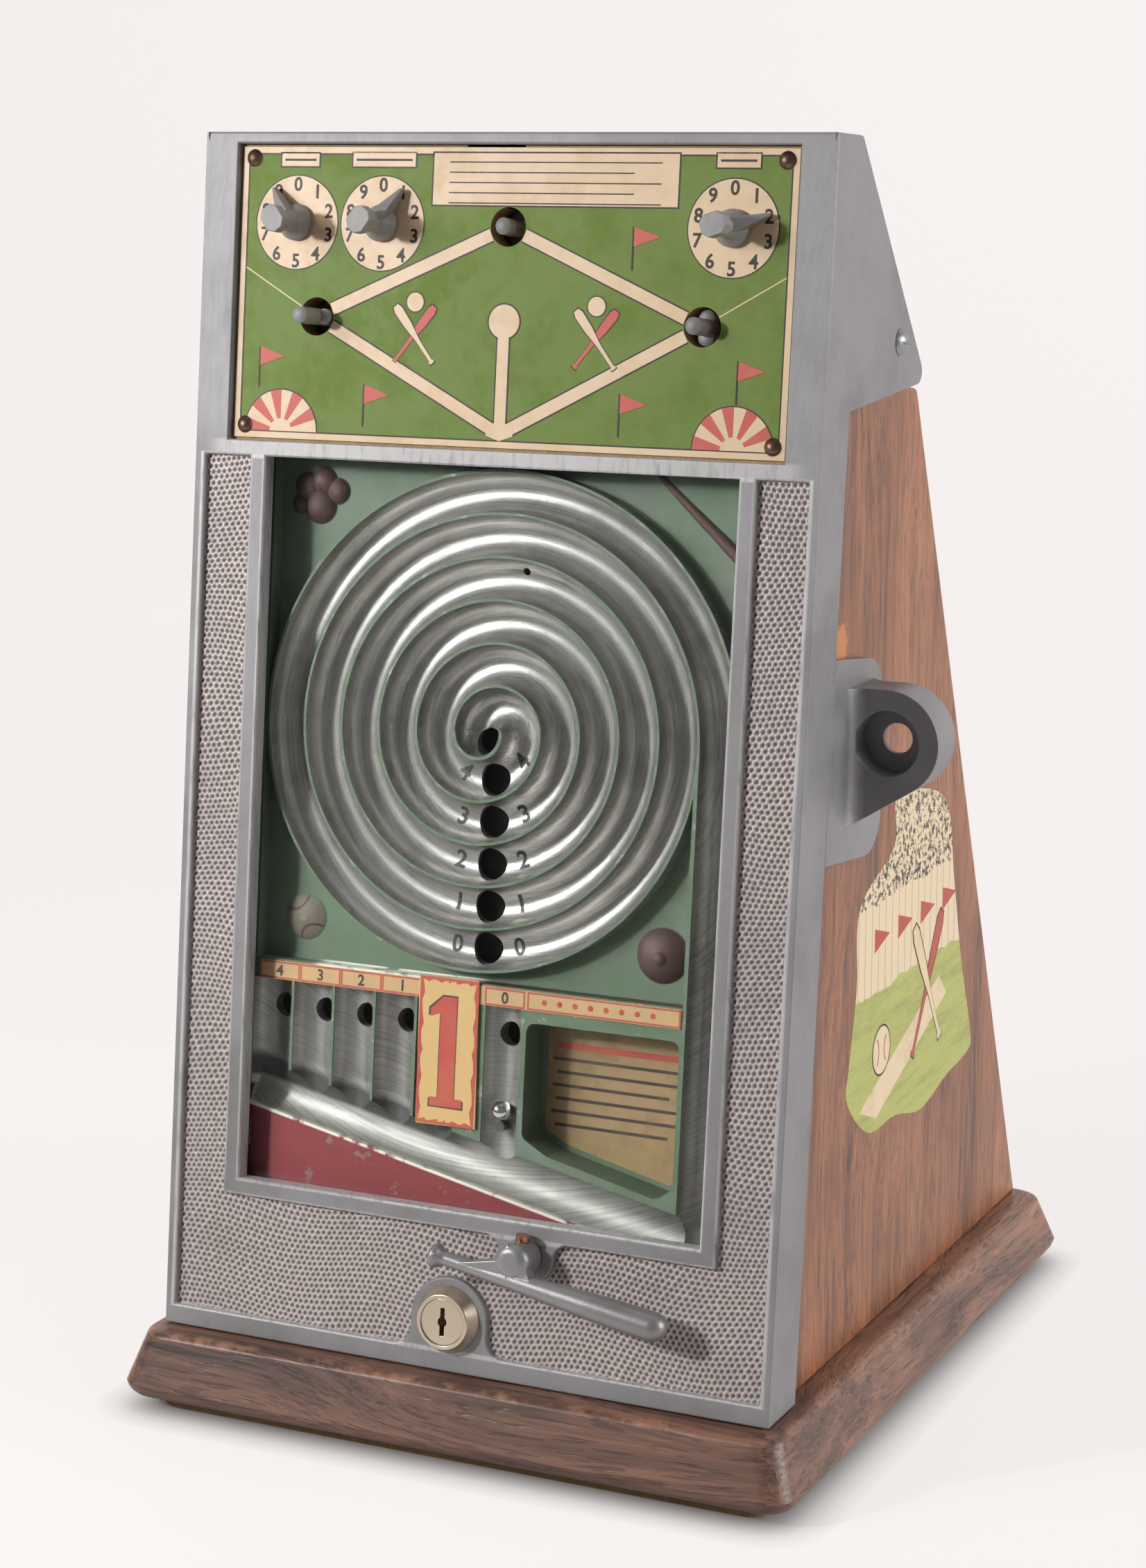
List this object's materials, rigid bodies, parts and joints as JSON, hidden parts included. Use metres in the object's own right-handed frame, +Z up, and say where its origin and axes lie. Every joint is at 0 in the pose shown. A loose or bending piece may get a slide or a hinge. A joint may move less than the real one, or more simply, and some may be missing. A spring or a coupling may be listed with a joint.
{
  "type": "coin-operated baseball game",
  "caption": "Counter-top coin game: wedge wooden cabinet, hinged cast front with glass over a spiral ball track, score dials, base pegs, swinging bat and lock.",
  "frame": {"origin": "centre of the flat underside of the bottom board", "axes": "+Z up, +X to the right seen from the front, the leaning front faces -Y"},
  "size_m": [0.2528, 0.276, 0.4114],
  "materials": {
    "cast_aluminium": "sand cast, worn",
    "oak_side": "stained and varnished oak, vertical grain",
    "oak_base": "stained oak moulding, worn edges",
    "board_wood": "plain softwood",
    "clear_glass": "clear sheet glass",
    "printed_plate": "printed green sheet, aged",
    "field_cast": "cast aluminium with worn green paint",
    "card": "printed yellow card, standing in for varnished paper",
    "steel": "plain steel",
    "bright_steel": "bright nickel plate",
    "brass": "plain brass",
    "zinc": "die cast, dull",
    "box_sheet": "black painted sheet"
  },
  "bodies": {
    "cabinet": {"base_moulding": "oak_base", "bottom_board": "board_wood", "left_side": "oak_side", "right_side": "oak_side", "back_panel": "board_wood", "back_cleats": "board_wood", "back_screws": "brass", "base_screws": "steel", "hinge_rail": "board_wood", "hinge_pins": "bright_steel", "cash_box": "box_sheet", "lock_keeper": "steel", "anchor_lug": "cast_aluminium", "lug_screws": "steel"},
    "door": {"front_casting": "cast_aluminium", "window_glass": "clear_glass", "glass_clips": "steel", "field_spacers": "steel", "field_screws": "steel", "score_board": "board_wood", "score_plate": "printed_plate", "plate_nails": "bright_steel", "board_screws": "steel", "peg_guides": "steel", "playfield": "field_cast", "return_cover": "box_sheet", "label_strip": "card", "price_card": "card", "instruction_card": "card", "coin_chute": "box_sheet", "bat_bush": "brass", "lock_body": "bright_steel", "lock_nut": "steel"},
    "bat_lever": {"bat": "cast_aluminium", "hub_screw": "brass", "bat_shaft": "steel", "kicker_arm": "steel", "return_spring": "steel"},
    "left_dial": {"left_knob": "zinc", "left_collar": "steel"},
    "middle_dial": {"middle_knob": "zinc", "middle_collar": "steel"},
    "right_dial": {"right_knob": "zinc", "right_collar": "steel"},
    "third_marker": {"third_peg": "zinc"},
    "second_marker": {"second_peg": "zinc"},
    "first_marker": {"first_peg": "zinc"},
    "lock_core": {"lock_plug": "bright_steel", "lock_cam": "steel"},
    "playing_ball": {"ball": "bright_steel"},
    "coin_gate": {"ball_gate": "brass"}
  },
  "joints": [
    {"name": "door_hinge", "type": "hinge", "parent": "cabinet", "child": "door", "pos_m": [0, -0.02665, 0.34764], "axis": [-1, 0, 0], "range_deg": [0, 60]},
    {"name": "bat_swing", "type": "hinge", "parent": "door", "child": "bat_lever", "pos_m": [0.023, -0.1204, 0.06845], "axis": [0, -0.9939, 0.1103], "range_deg": [-28, 0], "stiffness_Nm_per_rad": 0.05, "springref_deg": 34.38, "deforming": ["return_spring"]},
    {"name": "left_dial_turn", "type": "hinge", "parent": "door", "child": "left_dial", "pos_m": [-0.0743, -0.08543, 0.38371], "axis": [0, -0.9939, 0.1103], "continuous": true},
    {"name": "middle_dial_turn", "type": "hinge", "parent": "door", "child": "middle_dial", "pos_m": [-0.0438, -0.08543, 0.38371], "axis": [0, -0.9939, 0.1103], "continuous": true},
    {"name": "right_dial_turn", "type": "hinge", "parent": "door", "child": "right_dial", "pos_m": [0.0743, -0.08543, 0.38371], "axis": [0, -0.9939, 0.1103], "continuous": true},
    {"name": "third_push", "type": "slide", "parent": "door", "child": "third_marker", "axis": [0, 0.9939, -0.1103], "range_m": [0, 0.007]},
    {"name": "second_pull", "type": "slide", "parent": "door", "child": "second_marker", "axis": [0, -0.9939, 0.1103], "range_m": [0, 0.007]},
    {"name": "first_push", "type": "slide", "parent": "door", "child": "first_marker", "axis": [0, 0.9939, -0.1103], "range_m": [-0.0035, 0.0035]},
    {"name": "lock_turn", "type": "hinge", "parent": "door", "child": "lock_core", "pos_m": [-0.0028, -0.12307, 0.04439], "axis": [0, -0.9939, 0.1103], "range_deg": [-90, 0]},
    {"name": "ball_roll", "type": "slide", "parent": "door", "child": "playing_ball", "axis": [0, 0.1103, 0.9939], "range_m": [0, 0.02]},
    {"name": "gate_pull", "type": "slide", "parent": "door", "child": "coin_gate", "axis": [0, 0.9939, -0.1103], "range_m": [0, 0.005], "stiffness_N_per_m": 60, "springref_m": -0.004}
  ]
}
